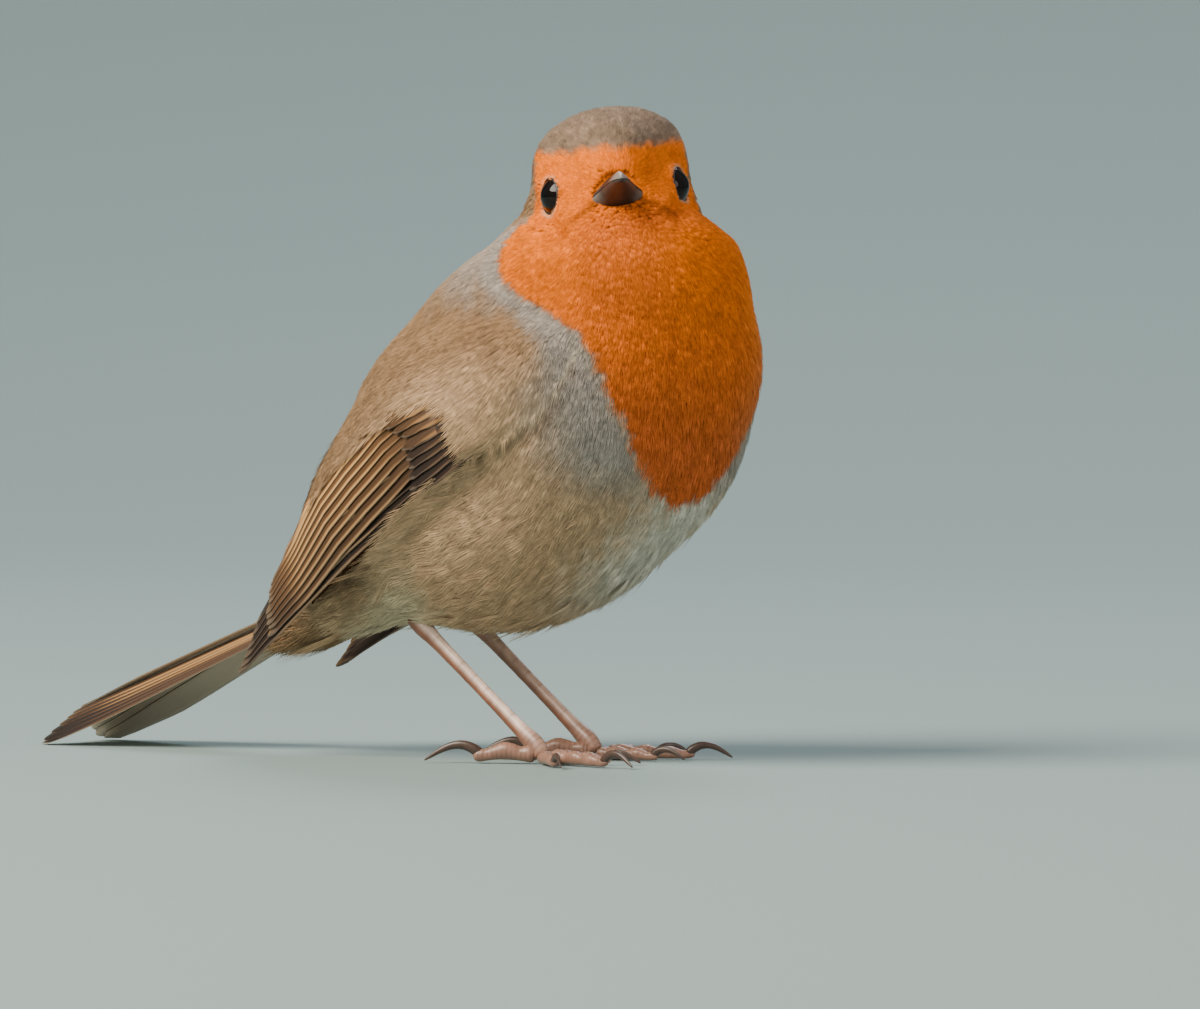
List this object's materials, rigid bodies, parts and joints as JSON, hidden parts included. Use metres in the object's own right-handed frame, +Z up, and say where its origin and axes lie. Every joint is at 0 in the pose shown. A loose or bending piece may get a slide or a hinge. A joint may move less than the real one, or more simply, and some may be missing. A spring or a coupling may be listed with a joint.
{
  "type": "robin bird model",
  "caption": "Life-size still model of a robin standing upright on flat feet with its tail tip resting behind and its head turned to its right.",
  "frame": {"origin": "middle of the bounding box on the floor plane that the feet and the tail tip rest on", "axes": "+X the way the trunk faces, from the tail towards the breast; +Y to the bird's left; +Z up"},
  "size_m": [0.1186, 0.0488, 0.0915],
  "materials": {
    "rust_plumage": "orange-red plumage, soft and matte",
    "brown_plumage": "olive-brown plumage, soft and matte",
    "buff_plumage": "buff and off-white plumage, soft and matte",
    "flight_feathers": "dark brown stiff feathers with pale edges, slight sheen",
    "bill_horn": "dark grey-brown horn, smooth and slightly shiny",
    "eye": "near-black brown eye, wet gloss",
    "leg_scales": "pinkish-brown scaled skin with a dull shine",
    "claw_horn": "dark brown horn, smooth"
  },
  "bodies": {
    "root": {"back": "brown_plumage", "belly": "buff_plumage", "bill_lower": "bill_horn", "bill_upper": "bill_horn", "breast": "rust_plumage", "claw_left_hallux": "claw_horn", "claw_left_inner": "claw_horn", "claw_left_middle": "claw_horn", "claw_left_outer": "claw_horn", "claw_right_hallux": "claw_horn", "claw_right_inner": "claw_horn", "claw_right_middle": "claw_horn", "claw_right_outer": "claw_horn", "eye_left": "eye", "eye_right": "eye", "head": "rust_plumage", "neck": "rust_plumage", "rump": "brown_plumage", "tail": "flight_feathers", "tarsus_left": "leg_scales", "tarsus_right": "leg_scales", "thigh_left": "buff_plumage", "thigh_right": "buff_plumage", "toe_left_hallux": "leg_scales", "toe_left_inner": "leg_scales", "toe_left_middle": "leg_scales", "toe_left_outer": "leg_scales", "toe_right_hallux": "leg_scales", "toe_right_inner": "leg_scales", "toe_right_middle": "leg_scales", "toe_right_outer": "leg_scales", "wing_left_coverts": "brown_plumage", "wing_left_primaries": "flight_feathers", "wing_left_secondaries": "flight_feathers", "wing_right_coverts": "brown_plumage", "wing_right_primaries": "flight_feathers", "wing_right_secondaries": "flight_feathers"}
  },
  "joints": []
}
